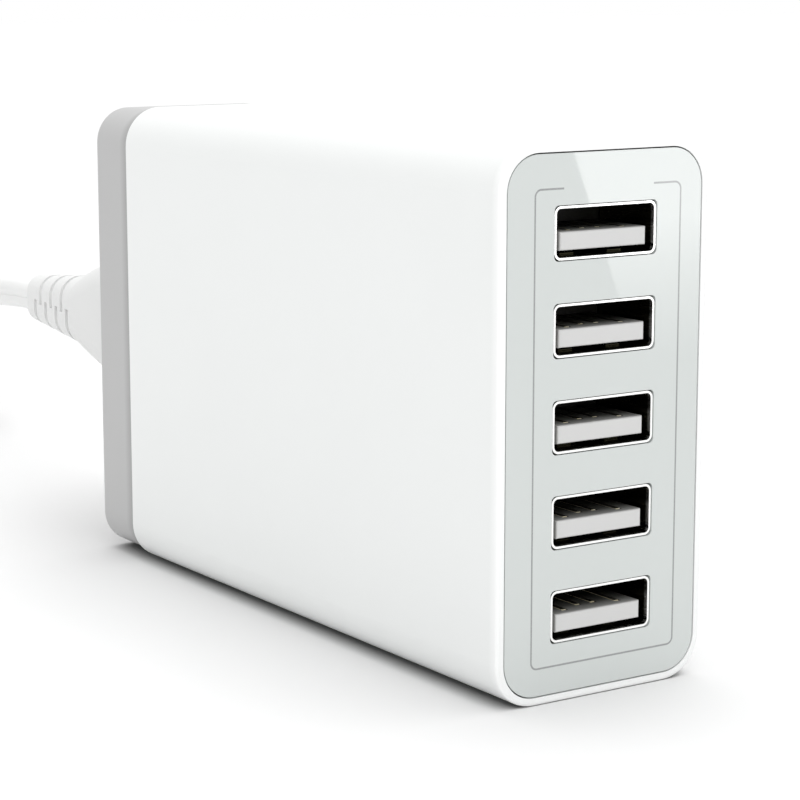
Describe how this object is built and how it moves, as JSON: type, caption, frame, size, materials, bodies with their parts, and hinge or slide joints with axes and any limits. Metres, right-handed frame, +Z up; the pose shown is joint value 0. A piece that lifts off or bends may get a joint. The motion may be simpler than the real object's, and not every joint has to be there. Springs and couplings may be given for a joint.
{
  "type": "multi-port usb desktop charger",
  "caption": "Slim upright box-shaped charger with a column of USB sockets in its glossy front and a detachable two-core mains lead behind.",
  "frame": {"origin": "on the surface that the charger stands on, under the middle of its body", "axes": "+X to the right when looking at the sockets, -Y out of the sockets, +Y to the back where the lead leaves, +Z up"},
  "size_m": [0.0404, 0.3073, 0.058],
  "materials": {
    "white_shell": "moulded, satin gloss",
    "grey_cap": "moulded, satin",
    "glossy_panel": "polished sheet",
    "panel_ink": "printed",
    "dark_frame": "moulded",
    "plated_shell": "nickel plated, folded sheet",
    "tongue_plastic": "moulded",
    "gold_contact": "gold plated",
    "board": "glass-epoxy laminate",
    "liner": "polyester film",
    "black_component": "moulded",
    "film_component": "moulded",
    "capacitor_can": "sleeved can",
    "disc_component": "dipped",
    "ferrite": "sintered",
    "winding": "enamelled wire and tape",
    "heat_sink": "rolled",
    "inlet_plastic": "moulded",
    "plated_pin": "nickel plated",
    "lead_plastic": "moulded soft vinyl",
    "cord_jacket": "extruded soft vinyl",
    "tie_strap": "moulded"
  },
  "bodies": {
    "root": {"housing_sleeve": "white_shell", "rear_cap": "grey_cap", "front_panel": "glossy_panel", "panel_line": "panel_ink", "port_frame": "dark_frame", "port_board": "board", "power_board": "board", "insulating_liner": "liner", "board_link": "black_component", "film_capacitor": "film_component", "bridge_rectifier": "black_component", "heat_sink": "heat_sink", "power_transistor": "black_component", "control_chip": "black_component", "optocoupler": "black_component", "output_rectifier": "black_component", "bulk_capacitor_1": "capacitor_can", "bulk_capacitor_2": "capacitor_can", "output_capacitor_1": "capacitor_can", "output_capacitor_2": "capacitor_can", "output_capacitor_3": "capacitor_can", "thermistor": "disc_component", "suppression_capacitor": "disc_component", "transformer_core": "ferrite", "transformer_bobbin": "black_component", "transformer_winding": "winding", "choke_core": "ferrite", "choke_winding": "winding", "inlet_housing": "inlet_plastic", "inlet_pins": "plated_pin", "lead_connector": "lead_plastic", "lead_contacts": "plated_pin", "cord_run": "cord_jacket", "cord_coil": "cord_jacket", "cord_tail": "cord_jacket", "cord_tie": "tie_strap", "plug_body": "lead_plastic", "plug_blades": "plated_pin", "usb_shell_1": "plated_shell", "usb_insulator_1": "tongue_plastic", "usb_contacts_1": "gold_contact", "usb_shell_2": "plated_shell", "usb_insulator_2": "tongue_plastic", "usb_contacts_2": "gold_contact", "usb_shell_3": "plated_shell", "usb_insulator_3": "tongue_plastic", "usb_contacts_3": "gold_contact", "usb_shell_4": "plated_shell", "usb_insulator_4": "tongue_plastic", "usb_contacts_4": "gold_contact", "usb_shell_5": "plated_shell", "usb_insulator_5": "tongue_plastic", "usb_contacts_5": "gold_contact"}
  },
  "joints": []
}
